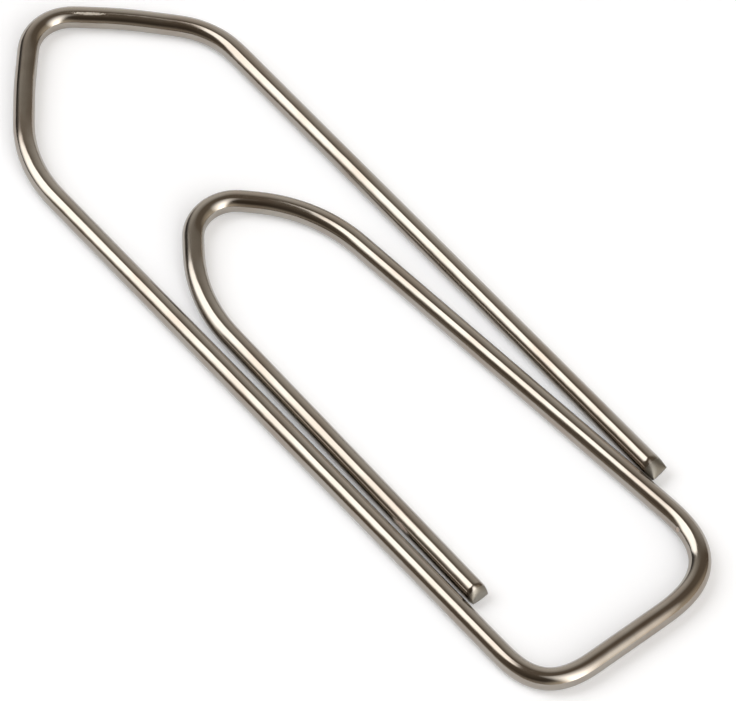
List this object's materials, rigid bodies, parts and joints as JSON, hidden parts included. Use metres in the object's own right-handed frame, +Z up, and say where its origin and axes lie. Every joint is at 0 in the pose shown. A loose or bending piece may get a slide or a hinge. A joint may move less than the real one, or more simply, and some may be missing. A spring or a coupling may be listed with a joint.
{
  "type": "paper clip",
  "caption": "Pointed paper clip bent from round plated steel wire: an outer loop with a triangular point, and a sprung inner tongue that lifts to grip sheets.",
  "frame": {"origin": "centre of the clip's outline, on the table that it lies on", "axes": "+X along the legs from the crossbar to the point, +Y from the outer free leg to the long leg, +Z up from the table"},
  "size_m": [0.05, 0.0144, 0.0012],
  "materials": {
    "nickel_wire": "polished"
  },
  "bodies": {
    "outer_loop": {"outer_loop": "nickel_wire"},
    "outer_free_leg": {"outer_free_leg": "nickel_wire"},
    "tongue": {"tongue": "nickel_wire"},
    "tongue_free_leg": {"tongue_free_leg": "nickel_wire"}
  },
  "joints": [
    {"name": "tongue_lift", "type": "hinge", "parent": "outer_loop", "child": "tongue", "pos_m": [-0.02431, 0.00105, 0.00059], "axis": [-0.0336, -0.9994, 0], "range_deg": [0, 10], "stiffness_Nm_per_rad": 0.61},
    {"name": "outer_free_leg_flex", "type": "hinge", "parent": "outer_loop", "child": "outer_free_leg", "pos_m": [0.02032, -0.00484, 0.00059], "axis": [0.756, 0.6546, 0], "range_deg": [0, 8], "stiffness_Nm_per_rad": 0.33},
    {"name": "tongue_free_leg_flex", "type": "hinge", "parent": "tongue", "child": "tongue_free_leg", "pos_m": [0.00814, 0.00298, 0.00059], "axis": [-0.7978, 0.6029, 0], "range_deg": [0, 8], "stiffness_Nm_per_rad": 0.39}
  ]
}
